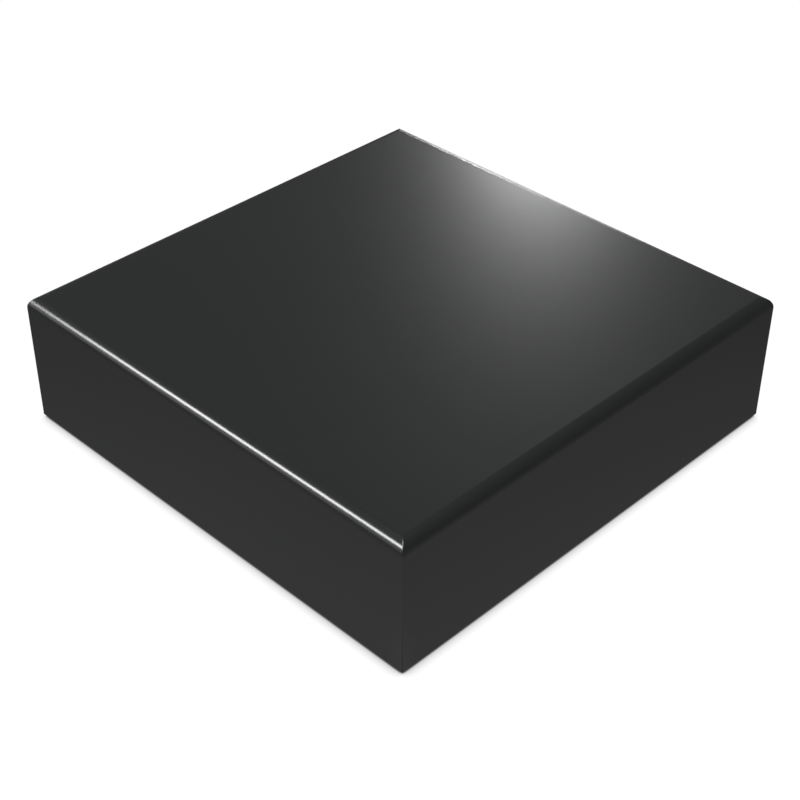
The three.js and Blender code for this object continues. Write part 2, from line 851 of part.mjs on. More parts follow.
place("main_board", mainBoard(), boardGreen);
placeEach("board_screw", boardScrews, (at) => crossScrew(at, boardScrewEnds), screwSteel);
place("processor", chip(processor), chipBlack);
place("memory_chip_left", chip(memoryLeft), chipBlack);
place("memory_chip_right", chip(memoryRight), chipBlack);
place("shield_frame", shieldFrame(), sheetSteel);
place("thermal_pad", thermalPad(), padGrey);
place("heat_sink", heatSink(), aluminium);
placeEach("heat_sink_pin", sinkPins, sinkPin, pinWhite);
place("flash_chip", chip(flash), chipBlack);
place("power_chip", chip(powerChip), chipBlack);
placeEach("inductor", inductors, inductor, chipBlack);
placeEach("capacitor", capacitors, capacitor, aluminium);
place("crystal", chip(crystal), sheetSteel);

place("wifi_module", chip(wifi), boardGreen);
place("wifi_shield", wifiShield(), sheetSteel);
place("antenna_left", antenna(-1), gold);
place("antenna_right", antenna(1), gold);
place("antenna_lead_left", antennaLeadLeft(), leadGrey);
place("antenna_lead_right", antennaLeadRight(), leadGrey);

place("ir_receiver", infraredReceiver(), chipBlack);
place("status_led", chip({ centre: [lamp.x, lamp.y], size: lamp.size }), pinWhite);
place("light_guide", lightGuide(), clear);

place("ethernet_jack", ethernetJack(), connectorBlack);
place("ethernet_shield", ethernetShield(), sheetSteel);
place("ethernet_contacts", ethernetContacts(), gold);
place("ethernet_transformer", chip(transformer), chipBlack);
place("hdmi_shell", hdmiShell(), sheetSteel);
place("hdmi_insert", hdmiInsert(), connectorBlack);
place("usb_shell", usbShell(), sheetSteel);
place("usb_insert", usbInsert(), connectorBlack);
place("optical_jack", opticalJack(), connectorBlack);
place("optical_emitter", opticalEmitter(), chipBlack);
place("power_jack", powerJack(), connectorBlack);
place("power_jack_pin", powerPin(), gold);
place("reset_switch", resetSwitch(), connectorBlack);

// What moves: the button with the switch plunger it pushes, and the optical jack's shutter.
const resetGroup = new THREE.Group();
player.add(resetGroup);
place("reset_button", resetButton(), panelBlack, resetGroup);
place("reset_switch_plunger", resetPlunger(), connectorBlack, resetGroup);
const shutterGroup = new THREE.Group();
player.add(shutterGroup);
place("optical_shutter", opticalShutter(), connectorBlack, shutterGroup);

export default player;
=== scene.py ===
"""A square streaming media player on a plain pale floor. Metres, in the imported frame's own axes:
+X right, +Y to the rear connectors, +Z up. The player stands on z = 0, centred on the origin."""
import json
from math import cos, pi, radians, sin, sqrt

import bmesh
import bpy
from mathutils import Matrix, Vector


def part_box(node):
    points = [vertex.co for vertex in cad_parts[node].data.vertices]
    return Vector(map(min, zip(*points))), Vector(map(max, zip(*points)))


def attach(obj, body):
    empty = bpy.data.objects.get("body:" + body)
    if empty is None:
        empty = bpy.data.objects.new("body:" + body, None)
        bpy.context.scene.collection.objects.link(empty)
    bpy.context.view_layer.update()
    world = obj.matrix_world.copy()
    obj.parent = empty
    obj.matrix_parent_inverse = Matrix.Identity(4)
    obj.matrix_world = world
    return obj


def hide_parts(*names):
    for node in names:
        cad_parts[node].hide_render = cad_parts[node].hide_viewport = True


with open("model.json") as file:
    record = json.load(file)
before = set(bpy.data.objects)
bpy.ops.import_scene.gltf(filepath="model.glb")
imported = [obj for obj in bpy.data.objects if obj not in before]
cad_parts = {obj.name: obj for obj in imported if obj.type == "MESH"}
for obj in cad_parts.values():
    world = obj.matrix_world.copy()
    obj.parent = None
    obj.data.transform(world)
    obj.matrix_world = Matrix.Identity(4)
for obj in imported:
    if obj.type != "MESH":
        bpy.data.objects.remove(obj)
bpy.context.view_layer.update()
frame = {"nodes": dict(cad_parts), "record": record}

MM = 0.001
LEAST = 0.01 * MM  # no round gets smaller than this
PAST = 1 * MM  # how far a cutter reaches beyond what it cuts
CORNERS = ("front_left", "front_right", "rear_left", "rear_right")


# ------------------------------------------------------------------ outlines
def quarter(steps):
    """The angles of a quarter turn, in equal steps."""
    return [0.5 * pi * i / steps for i in range(steps + 1)]


def rounded_outline(low, high, radius, steps=6):
    """Points round a rectangle with round corners, anticlockwise, from two (a, b) corners."""
    points = []
    centres = [
        (high[0] - radius, low[1] + radius, -0.5),
        (high[0] - radius, high[1] - radius, 0.0),
        (low[0] + radius, high[1] - radius, 0.5),
        (low[0] + radius, low[1] + radius, 1.0),
    ]
    for a, b, turn in centres:
        for i in range(steps + 1):
            angle = pi * (turn + 0.5 * i / steps)
            points.append((a + radius * cos(angle), b + radius * sin(angle)))
    return points


def circle_outline(centre, radius, steps=48):
    """Points round a circle, anticlockwise."""
    turns = [2 * pi * i / steps for i in range(steps)]
    return [(centre[0] + radius * cos(t), centre[1] + radius * sin(t)) for t in turns]


def grown_polygon(points, growth):
    """An anticlockwise polygon with every side moved outwards."""
    moved = []
    for i, here in enumerate(points):
        before = Vector(here) - Vector(points[i - 1])
        after = Vector(points[(i + 1) % len(points)]) - Vector(here)
        first = Vector((before.y, -before.x)).normalized()
        second = Vector((after.y, -after.x)).normalized()
        moved.append(Vector(here) + (first + second) * (growth / (1 + first.dot(second))))
    return moved


def softened_polygon(points, radius, steps=4):
    """An anticlockwise polygon whose corners are rounded."""
    soft = []
    for i, here in enumerate(points):
        corner = Vector(here)
        before = (Vector(points[i - 1]) - corner).normalized()
        after = (Vector(points[(i + 1) % len(points)]) - corner).normalized()
        bend = before.dot(after)
        reach = radius * sqrt((1 + bend) / (1 - bend))
        for j in range(steps + 1):
            t = j / steps
            pull = before * (reach * (1 - t) ** 2) + after * (reach * t * t)
            soft.append(tuple(corner + pull))
    return soft


def box_shape(low, high, radius):
    """An outline that can be asked for at any growth: a rectangle with round corners."""

    def at(growth):
        lo = (low[0] - growth, low[1] - growth)
        hi = (high[0] + growth, high[1] + growth)
        return rounded_outline(lo, hi, max(radius + growth, 2 * LEAST))

    return at


def round_shape(centre, radius, steps=48):
    """A circle that can be asked for at any growth."""

    def at(growth):
        return circle_outline(centre, max(radius + growth, LEAST), steps)

    return at


def polygon_shape(points, radius):
    """A polygon with softened corners that can be asked for at any growth."""

    def at(growth):
        return softened_polygon(grown_polygon(points, growth), max(radius + growth, 5 * LEAST))

    return at


# ------------------------------------------------------------------ meshes
def link(name, mesh):
    """A new object for a mesh, in the scene."""
    piece = bpy.data.objects.new(name, mesh)
    bpy.context.scene.collection.objects.link(piece)
    return piece


def from_bmesh(name, bm):
    """A new object from a bmesh, with its faces turned outwards."""
    bmesh.ops.recalc_face_normals(bm, faces=bm.faces)
    mesh = bpy.data.meshes.new(name)
    bm.to_mesh(mesh)
    bm.free()
    return link(name, mesh)


def on_axis(axis, a, b, along):
    """The point (a, b) of an outline drawn across an axis, at a place along it."""
    if axis == "X":
        return Vector((along, a, b))
    if axis == "Y":
        return Vector((a, along, b))
    return Vector((a, b, along))


def loft(name, axis, rings):
    """A closed solid through rings of (outline, place along the axis), each with as many points."""
    bm = bmesh.new()
    loops = [[bm.verts.new(on_axis(axis, a, b, along)) for a, b in outline] for outline, along in rings]
    for lower, upper in zip(loops, loops[1:]):
        count = len(lower)
        for i in range(count):
            j = (i + 1) % count
            bm.faces.new((lower[i], lower[j], upper[j], upper[i]))
    bm.faces.new(loops[0])
    bm.faces.new(loops[-1])
    return from_bmesh(name, bm)


def solid(name, axis, shape, start, end, rounds=(0.0, 0.0), steps=4):
    """A shape run along an axis, with a round on the edge at each end."""
    first, last = (max(r, LEAST / 2) for r in rounds)
    turn = quarter(steps)
    rings = [(shape(-first * (1 - sin(t))), start + first * (1 - cos(t))) for t in turn]
    rings += [(shape(-last * (1 - cos(t))), end - last * (1 - sin(t))) for t in turn]
    return loft(name, axis, rings)


def bar(name, axis, low, high, start, end, corner, rounds=(0.0, 0.0)):
    """A bar of rectangular section along an axis, with round corners and round end edges."""
    return solid(name, axis, box_shape(low, high, corner), start, end, rounds)


def mouth(name, axis, shape, bottom, face, lip, steps=4):
    """A cutter for a hole from a face down to its bottom, with the hole's edge at the face rounded."""
    way = 1 if face > bottom else -1
    rings = [(shape(0), bottom)]
    rings += [(shape(lip * (1 - cos(t))), face - way * lip * (1 - sin(t))) for t in quarter(steps)]
    rings.append((shape(lip), face + way * PAST))
    return loft(name, axis, rings)


def turned(name, axis, centre, profile, steps=48):
    """A solid of (radius, place along the axis) points turned about an axis through (a, b)."""
    rings = [(circle_outline(centre, max(r, LEAST), steps), along) for r, along in profile]
    return loft(name, axis, rings)


def apply_modifiers(piece):
    """The piece's mesh with its modifiers worked in."""
    graph = bpy.context.evaluated_depsgraph_get()
    mesh = bpy.data.meshes.new_from_object(piece.evaluated_get(graph))
    piece.modifiers.clear()
    piece.data = mesh


def gathered(name, parts):
    """One object holding the meshes of several that don't touch."""
    bm = bmesh.new()
    for part in parts:
        bm.from_mesh(part.data)
        bpy.data.objects.remove(part)
    return from_bmesh(name, bm)


def boolean(piece, operation, tools):
    """Cuts tools that don't touch each other from a piece, or joins them to it."""
    tool = gathered("tools", tools)
    step = piece.modifiers.new("step", "BOOLEAN")
    step.operation = operation
    step.solver = "EXACT"
    step.object = tool
    apply_modifiers(piece)
    bpy.data.objects.remove(tool)


def cut(piece, *tools):
    """Takes tools away from a piece."""
    boolean(piece, "DIFFERENCE", tools)


def join(piece, *tools):
    """Adds tools to a piece."""
    boolean(piece, "UNION", tools)


def smooth(piece, angle=32.0):
    """Smooth shading that keeps the flats flat and the edges over an angle sharp."""
    mesh = piece.data
    mesh.shade_smooth()
    mesh.set_sharp_from_angle(angle=radians(angle))
    weighted = piece.modifiers.new("flats", "WEIGHTED_NORMAL")
    weighted.keep_sharp = True
    weighted.weight = 100
    apply_modifiers(piece)


def finish_piece(piece, slot, *nodes, body="case", angle=32.0):
    """Shades a piece, gives it its slot's finish, and ties it to the frame."""
    smooth(piece, angle)
    piece.data.materials.clear()
    piece.data.materials.append(MATERIALS[slot])
    if nodes:
        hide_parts(*nodes)
    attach(piece, body)
    return piece


def middle(node):
    """The centre of a node's box."""
    low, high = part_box(node)
    return (low + high) / 2


# ------------------------------------------------------------------ node materials
class Nodes:
    """A new material's node tree, with short ways to add and link nodes."""

    def __init__(self, name):
        self.material = bpy.data.materials.new(name)
        self.material.use_nodes = True
        self.tree = self.material.node_tree
        self.surface = self.tree.nodes["Principled BSDF"]
        self.place = self.add("ShaderNodeTexCoord").outputs["Object"]

    def add(self, kind, **values):
        """A new node, with some of its settings."""
        node = self.tree.nodes.new(kind)
        for key, value in values.items():
            setattr(node, key, value)
        return node

    def join(self, output, target):
        """Links an output to an input."""
        self.tree.links.new(output, target)

    def into(self, output, name):
        """Links an output to one of the surface's inputs."""
        self.join(output, self.surface.inputs[name])

    def set(self, **values):
        """Sets the surface's inputs, each named with _ for a space."""
        for key, value in values.items():
            self.surface.inputs[key.replace("_", " ")].default_value = value

    def stretched(self, stretch):
        """The object's own space, scaled along each axis."""
        mapping = self.add("ShaderNodeMapping")
        mapping.inputs["Scale"].default_value = stretch
        self.join(self.place, mapping.inputs["Vector"])
        return mapping.outputs["Vector"]

    def noise(self, scale, detail=3.0, stretch=(1, 1, 1)):
        """Noise over the object's own space, scale in cycles a metre."""
        node = self.add("ShaderNodeTexNoise")
        node.inputs["Scale"].default_value = scale
        node.inputs["Detail"].default_value = detail
        self.join(self.stretched(stretch), node.inputs["Vector"])
        return node.outputs["Fac"]

    def cells(self, scale, feature="F1", distance="EUCLIDEAN"):
        """Distance to the nearest of scattered points or to the edges between their cells."""
        node = self.add("ShaderNodeTexVoronoi", feature=feature)
        if feature == "F1":
            node.distance = distance
        node.inputs["Scale"].default_value = scale
        self.join(self.place, node.inputs["Vector"])
        return node.outputs["Distance"]

    def distance_to(self, point):
        """How far each point of the surface is from a given one."""
        node = self.add("ShaderNodeVectorMath", operation="DISTANCE")
        self.join(self.place, node.inputs[0])
        node.inputs[1].default_value = point
        return node.outputs["Value"]

    def spread(self, value, low, high, from_low=0.3, from_high=0.7):
        """A value moved from one range to another, and kept inside it."""
        node = self.add("ShaderNodeMapRange")
        node.inputs["From Min"].default_value = from_low
        node.inputs["From Max"].default_value = from_high
        node.inputs["To Min"].default_value = low
        node.inputs["To Max"].default_value = high
        self.join(value, node.inputs["Value"])
        return node.outputs["Result"]

    def tint(self, value, dark, light):
        """A colour between two, by a value from 0 to 1."""
        node = self.add("ShaderNodeMix", data_type="RGBA")
        self.join(value, node.inputs[0])
        for target, colour in ((node.inputs[6], dark), (node.inputs[7], light)):
            if isinstance(colour, tuple):
                target.default_value = (*colour, 1)
            else:
                self.join(colour, target)
        return node.outputs[2]

    def blend(self, share, first, second):
        """A mix of two shaders, by a share from 0 to 1."""
        node = self.add("ShaderNodeMixShader")
        self.join(share, node.inputs[0])
        self.join(first.outputs[0], node.inputs[1])
        self.join(second.outputs[0], node.inputs[2])
        return node

    def bump(self, height, distance, under=None):
        """A normal tilted by a height, over another bump if one is given."""
        node = self.add("ShaderNodeBump")
        node.inputs["Distance"].default_value = distance
        self.join(height, node.inputs["Height"])
        if under is not None:
            self.join(under, node.inputs["Normal"])
        return node.outputs["Normal"]


def shaded(colour, share):
    """A colour made lighter or darker by a share of itself."""
    return tuple(c * share for c in colour)


def moulded(name, colour, roughness, grain, depth, specular=0.5, mottle=0.12, spread=0.04):
    """Moulded plastic: a fine surface grain, faint flow mottling and slightly uneven gloss."""
    n = Nodes(name)
    flow = n.spread(n.noise(45.0, 2.0), 0, 1, 0.1, 0.9)
    gloss = n.spread(n.noise(160.0, 4.0), roughness - spread, roughness + spread, 0.1, 0.9)
    n.into(n.tint(flow, shaded(colour, 1 - mottle), shaded(colour, 1 + mottle)), "Base Color")
    n.into(gloss, "Roughness")
    n.into(n.bump(n.noise(grain, 2.0), depth), "Normal")
    n.set(Specular_IOR_Level=specular)
    return n.material


def spark_finish(name, colour, roughness, cell, depth, specular=0.4):
    """The pitted finish of a spark-eroded mould: rounded cells with a finer grain over them."""
    mottle, spread = 0.15, 0.04
    n = Nodes(name)
    flow = n.spread(n.noise(30.0, 3.0), 0, 1)
    n.into(n.tint(flow, shaded(colour, 1 - mottle), shaded(colour, 1 + mottle)), "Base Color")
    n.into(n.spread(n.noise(1200.0, 4.0), roughness - spread, roughness + spread), "Roughness")
    pits = n.bump(n.cells(cell), depth)
    n.into(n.bump(n.noise(3 * cell, 2.0), depth / 3, under=pits), "Normal")
    n.set(Specular_IOR_Level=specular)
    return n.material


def rubber():
    """Matt moulded rubber, paler where it picks up dust."""
    n = Nodes("foot_rubber")
    dust = n.spread(n.noise(350.0, 5.0), 0, 1, 0.52, 0.75)
    n.into(n.tint(dust, (0.012, 0.012, 0.012), (0.030, 0.029, 0.028)), "Base Color")
    n.into(n.spread(n.noise(900.0, 3.0), 0.72, 0.92), "Roughness")
    n.into(n.bump(n.noise(5000.0, 3.0), 0.004 * MM), "Normal")
    n.set(Specular_IOR_Level=0.25)
    return n.material


def metal(name, colour, roughness, stretch, streaks=600.0, depth=0.001 * MM, stain=0.12):
    """Metal with fine streaks, drawn out along the axis whose stretch is small."""
    spread = 0.05
    n = Nodes(name)
    clouds = n.spread(n.noise(90.0, 3.0), 0, 1)
    n.into(n.tint(clouds, shaded(colour, 1 - stain), colour), "Base Color")
    drawn = n.noise(streaks, 4.0, stretch)
    n.into(n.spread(drawn, roughness - spread, roughness + spread), "Roughness")
    n.into(n.bump(drawn, depth), "Normal")
    n.set(Metallic=1.0)
    return n.material


def laminate():
    """Green solder mask over copper tracks, with the woven glass faintly showing."""
    n = Nodes("board_laminate")
    track = n.spread(n.cells(260.0, distance="MANHATTAN"), 0, 1, 0.46, 0.50)
    pads = n.spread(n.cells(420.0), 1, 0, 0.10, 0.13)
    weave = n.noise(1500.0, 1.0, (1, 0.3, 1))
    mask = n.tint(n.spread(weave, 0, 1), (0.006, 0.045, 0.022), (0.009, 0.060, 0.030))
    tracked = n.tint(track, mask, (0.016, 0.110, 0.050))
    n.into(n.tint(pads, tracked, (0.42, 0.40, 0.36)), "Base Color")
    n.into(n.spread(pads, 0.38, 0.28, 0, 1), "Roughness")
    n.into(n.bump(track, 0.02 * MM), "Normal")
    n.set(Specular_IOR_Level=0.5)
    return n.material


def silicone():
    """A soft thermal pad: putty with filler specks."""
    n = Nodes("thermal_silicone")
    specks = n.spread(n.cells(2500.0), 0, 1, 0.1, 0.4)
    n.into(n.tint(specks, (0.34, 0.38, 0.42), (0.22, 0.26, 0.30)), "Base Color")
    n.into(n.spread(n.noise(300.0), 0.75, 0.95), "Roughness")
    n.into(n.bump(n.noise(1800.0, 3.0), 0.02 * MM), "Normal")
    return n.material


def acrylic():
    """Clear moulded acrylic with faint flow lines."""
    n = Nodes("clear_acrylic")
    flow = n.noise(120.0, 2.0, (1, 0.3, 1))
    n.into(n.tint(n.spread(flow, 0, 1), (0.90, 0.93, 0.93), (0.97, 0.98, 0.98)), "Base Color")
    n.into(n.spread(flow, 0.03, 0.10), "Roughness")
    n.into(n.bump(flow, 0.01 * MM), "Normal")
    n.set(Transmission_Weight=0.92, IOR=1.49)
    return n.material


SHELL_COLOUR = (0.0098, 0.0106, 0.0102)
MATERIALS = {
    "shell_plastic": moulded("shell_satin", SHELL_COLOUR, 0.22, 9000.0, 0.0003 * MM,
                             specular=0.375, mottle=0.03, spread=0.003),
    "base_plastic": spark_finish("base_grained", (0.013, 0.0135, 0.0135), 0.50, 1800.0, 0.03 * MM),
    "panel_plastic": spark_finish("panel_grained", (0.009, 0.0095, 0.0095), 0.38, 2600.0, 0.012 * MM),
    "connector_plastic": moulded("connector_nylon", (0.006, 0.006, 0.0065), 0.42, 3500.0, 0.006 * MM),
    "chip_package": spark_finish("chip_epoxy", (0.014, 0.0145, 0.015), 0.48, 3200.0, 0.01 * MM, 0.5),
    "white_nylon": moulded("white_nylon", (0.62, 0.60, 0.55), 0.45, 3000.0, 0.008 * MM, 0.45, 0.05),
    "lead_jacket": moulded("lead_jacket", (0.020, 0.020, 0.021), 0.40, 2500.0, 0.01 * MM),
    "foot_rubber": rubber(),
    "screw_steel": metal("screw_steel", (0.30, 0.30, 0.31), 0.34, (1, 1, 0.1), 2200.0),
    "sheet_steel": metal("tinned_sheet", (0.62, 0.62, 0.60), 0.28, (1, 0.08, 1), 1400.0,
                         depth=0.0002 * MM, stain=0.04),
    "ballast_steel": metal("rolled_steel", (0.36, 0.36, 0.37), 0.46, (0.06, 1, 1), 500.0),
    "aluminium": metal("drawn_aluminium", (0.70, 0.71, 0.72), 0.36, (1, 0.05, 1), 900.0),
    "gold_contact": metal("gold_plate", (0.86, 0.62, 0.26), 0.24, (1, 0.2, 1), 1500.0,
                          depth=0.0005 * MM, stain=0.2),
    "board_laminate": laminate(),
    "thermal_silicone": silicone(),
    "clear_acrylic": acrylic(),
}


# ------------------------------------------------------------------ case
WALL = 2.0 * MM
SHELL_LOW, SHELL_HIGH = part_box("top_shell")
HALF = SHELL_HIGH.x
INSIDE = HALF - WALL
CEILING = SHELL_HIGH.z - 2.2 * MM
NOTCH_HALF = 46.4 * MM
NOTCH_TOP = 23.5 * MM
PILOT = 1.05 * MM


def centred(half, radius):
    """A square outline centred on the origin, that can be asked for at any growth."""
    return box_shape((-half, -half), (half, half), radius)


def case_screw_spots():
    """Where the four case screws stand, as (x, y)."""
    return [middle(f"case_screw_{corner}").xy for corner in CORNERS]


def shell_posts(piece):
    """Screw posts under the ceiling, each tied to both walls of its corner by ribs."""
    radius, rib, rib_bottom, collar_top = 3 * MM, 0.6 * MM, 9 * MM, 4.05 * MM
    pilot_end, overlap = 14 * MM, 0.5 * MM
    into_wall = INSIDE + overlap
    top = CEILING + overlap
    tubes, side_ribs, end_ribs, pilots = [], [], [], []
    for spot in case_screw_spots():
        side_x, side_y = (into_wall if v > 0 else -into_wall for v in spot)
        end_bottom = NOTCH_TOP + WALL if spot.y > 0 else rib_bottom
        tubes.append(solid("tube", "Z", round_shape(spot, radius), collar_top, top, (0.2 * MM, 0)))
        side_ribs.append(bar("rib", "Z", (min(spot.x, side_x), spot.y - rib),
                             (max(spot.x, side_x), spot.y + rib), rib_bottom, top, 0.1 * MM))
        end_ribs.append(bar("rib", "Z", (spot.x - rib, min(spot.y, side_y)),
                            (spot.x + rib, max(spot.y, side_y)), end_bottom, top, 0.1 * MM))
        pilot = round_shape(spot, PILOT, 24)
        pilots.append(mouth("pilot", "Z", pilot, pilot_end, collar_top, 0.3 * MM))
    join(piece, *tubes)
    join(piece, *side_ribs)
    join(piece, *end_ribs)
    cut(piece, *pilots)


def shell():
    """The one-piece cover: an outer skin with a round top edge, a hollow, and the rear notch."""
    low, high = SHELL_LOW, SHELL_HIGH
    top_round, upright, hem = 2.5 * MM, 0.15 * MM, 0.12 * MM

    def skin(inset):
        at = HALF - inset
        return rounded_outline((-at, -at), (at, at), upright, 6)

    rings = [(skin(hem * (1 - sin(t))), low.z + hem * (1 - cos(t))) for t in quarter(3)]
    rings += [(skin(top_round * (1 - cos(t))), high.z - top_round * (1 - sin(t))) for t in quarter(18)]
    piece = loft("shell", "Z", rings)
    inner_round, corner = 1.2 * MM, 0.5 * MM
    cut(piece, bar("hollow", "Z", (-INSIDE, -INSIDE), (INSIDE, INSIDE), low.z - WALL, CEILING,
                   0.3 * MM, (0, inner_round)))
    cut(piece, bar("notch", "Y", (-NOTCH_HALF, low.z - WALL), (NOTCH_HALF, NOTCH_TOP),
                   INSIDE - PAST, HALF + PAST, corner))
    # The front wall is thinner where the lamp and the infrared receiver sit behind it.
    thin_low, thin_high, thinned = (-14 * MM, 8 * MM), (11 * MM, 18 * MM), 0.9 * MM
    cut(piece, bar("thinning", "Y", thin_low, thin_high, -INSIDE - thinned, -INSIDE + 3 * PAST, corner))
    shell_posts(piece)
    finish_piece(piece, "shell_plastic", "top_shell")


def vent_cutters(face, top):
    """The slots in two rows across the base, with their lower edges rounded."""
    length, width, pitch, count, lip = 10 * MM, 1.6 * MM, 4 * MM, 15, 0.25 * MM
    rows = (-40 * MM, 35 * MM)
    for y in rows:
        for i in range(count):
            x = (i - (count - 1) / 2) * pitch
            low = (x - width / 2, y - length / 2)
            high = (x + width / 2, y + length / 2)
            slot = box_shape(low, high, width / 2 - LEAST)
            yield mouth("slot", "Z", slot, top + PAST, face, lip)


def base():
    """The inset base: a shallow tray with slots, a blank panel, and posts for what it carries."""
    low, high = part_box("base_cover")
    thick, rim, rim_top, panel_gap = 1.8 * MM, 1.2 * MM, 5.6 * MM, 42.9 * MM
    under, top = low.z, low.z + thick
    piece = solid("base", "Z", centred(high.x, 1 * MM), under, rim_top, (0.35 * MM, 0.15 * MM))
    inner = high.x - rim
    cut(piece, mouth("tray", "Z", centred(inner, 0.4 * MM), top, rim_top, 0.1 * MM))
    cut(piece, bar("panel_gap", "Z", (-panel_gap, inner - PAST), (panel_gap, high.x + PAST), top,
                   rim_top + PAST, 0.1 * MM))
    root = top - 0.5 * MM
    board_spots = [middle(f"board_screw_{corner}").xy for corner in CORNERS]
    peg_spots = [Vector((x, y)) * MM for x in (-24, 24) for y in (-22, 15)]
    case_top, board_top, peg_top = 4.0 * MM, 6.85 * MM, 5.2 * MM
    posts = [(case_screw_spots(), 3.0 * MM, case_top), (board_spots, 2.75 * MM, board_top)]
    posts.append((peg_spots, 1.6 * MM, peg_top))
    join(piece, *[solid("post", "Z", round_shape(spot, radius, 32), root, post_top, (0, 0.2 * MM))
                  for spots, radius, post_top in posts for spot in spots])
    feet = [middle(f"foot_{corner}").xy for corner in CORNERS]
    recess, recess_top = 6.2 * MM, under + 0.7 * MM
    head, head_end, pilot_end = 2.5 * MM, 2.8 * MM, 2.9 * MM
    holes = [mouth("foot_recess", "Z", round_shape(spot, recess, 64), recess_top, under, 0.2 * MM)
             for spot in feet]
    holes += [mouth("head_hole", "Z", round_shape(spot, head), head_end, under, 0.3 * MM)
              for spot in case_screw_spots()]
    holes += [mouth("pilot", "Z", round_shape(spot, PILOT, 24), pilot_end, board_top, 0.2 * MM)
              for spot in board_spots]
    blank = box_shape((-26 * MM, -14 * MM), (26 * MM, 14 * MM), 1.5 * MM)
    holes.append(mouth("blank", "Z", blank, under + 0.2 * MM, under, 0.1 * MM))
    cut(piece, *holes, *vent_cutters(under, top))
    shank = 1.4 * MM
    cut(piece, *[solid("shank_hole", "Z", round_shape(spot, shank, 24), under, case_top + PAST)
                 for spot in case_screw_spots()])
    finish_piece(piece, "base_plastic", "base_cover")


def foot(corner):
    """A rubber foot: a soft outer edge, a flat tread and two fine grooves moulded in it."""
    node = f"foot_{corner}"
    low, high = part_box(node)
    radius = (high.x - low.x) / 2
    edge, depth, width = 0.55 * MM, 0.16 * MM, 0.22 * MM
    profile = [(0, 0.0)]
    for groove in (2.2 * MM, 4.0 * MM):
        profile += [(groove - width, 0.0), (groove - 0.4 * width, depth)]
        profile += [(groove + 0.4 * width, depth), (groove + width, 0.0)]
    turn = quarter(8)
    profile += [(radius - edge + edge * sin(t), edge * (1 - cos(t))) for t in turn]
    profile += [(radius, high.z - 0.1 * MM), (radius - 0.1 * MM, high.z), (0, high.z)]
    piece = turned(f"pad_{corner}", "Z", middle(node).xy, profile, 72)
    finish_piece(piece, "foot_rubber", node)


def screw_mesh(under_head, face, tip):
    """A pan-head screw on the Z axis, with rolled threads and a cross recess."""
    way = 1 if tip > under_head else -1
    head, shank, core, pitch, edge = 2.2 * MM, 1.0 * MM, 0.78 * MM, 0.55 * MM, 0.05 * MM
    crown = abs(under_head - face)
    soft, flat = 0.55 * crown, 0.55 * head
    profile = [(0, face), (flat, face)]
    profile += [(head - soft + soft * sin(t), face + way * soft * (1 - cos(t))) for t in quarter(6)]
    profile += [(head, under_head - way * edge), (head - edge, under_head), (core, under_head)]
    place = under_head + way * 0.6 * MM
    while abs(tip - place) > 1.4 * MM:
        profile += [(core, place), (shank, place + way * pitch / 2)]
        place += way * pitch
    profile += [(core, place), (0.35 * MM, tip), (0, tip)]
    piece = turned("screw", "Z", (0, 0), profile, 40)
    depth, reach = 0.75 * MM, flat
    for long_x in (True, False):
        rings = []
        for along, share in ((face + way * depth, 0.35), (face - way * 0.2 * MM, 1.0)):
            length, width = reach * share, 0.28 * MM * (0.6 + 0.4 * share)
            half = (length, width) if long_x else (width, length)
            rings.append((rounded_outline((-half[0], -half[1]), half, 0.1 * MM, 3), along))
        cut(piece, loft("arm", "Z", rings))
    return piece


def screws(prefix, name, under_head, face, tip):
    """One screw's mesh, set at each of its four places and turned a little further at each.
    Its head runs from face to under_head, and its shank on to the tip, all along Z."""
    pattern = screw_mesh(under_head, face, tip)
    first_turn, further = 0.35, 0.8  # radians
    for i, corner in enumerate(CORNERS):
        node = f"{prefix}_{corner}"
        spot = middle(node)
        mesh = pattern.data.copy()
        turn = Matrix.Rotation(first_turn + further * i, 4, "Z")
        mesh.transform(Matrix.Translation((spot.x, spot.y, 0)) @ turn)
        finish_piece(link(f"{name}_{corner}", mesh), "screw_steel", node)
    bpy.data.objects.remove(pattern)


# ------------------------------------------------------------------ rear panel and connectors
PANEL_LOW, PANEL_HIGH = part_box("rear_io_panel")
HOLE_GAP = 0.25 * MM
POWER_NOSE = 4.2 * MM
JACK_BACK = 37.5 * MM


def section(node):
    """A node's lowest and highest (x, z)."""
    low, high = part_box(node)
    return (low.x, low.z), (high.x, high.z)


def rear_centre(node):
    """A node's centre as (x, z)."""
    spot = middle(node)
    return spot.x, spot.z


def hdmi_shape(inset=0.0, radius=0.5 * MM):
    """The video connector's outline, narrower along its lower edge."""
    (left, low), (right, high) = section("hdmi_shell")
    chamfer = 1.6 * MM
    points = [
        (left + chamfer, low),
        (right - chamfer, low),
        (right, low + chamfer),
        (right, high),
        (left, high),
        (left, low + chamfer),
    ]
    return polygon_shape(grown_polygon(points, -inset), radius)


def boxed(node, inset=0.0, radius=0.4 * MM):
    """The outline of a node seen from the rear, as a rectangle with round corners."""
    (left, low), (right, high) = section(node)
    return box_shape((left + inset, low + inset), (right - inset, high - inset), radius)


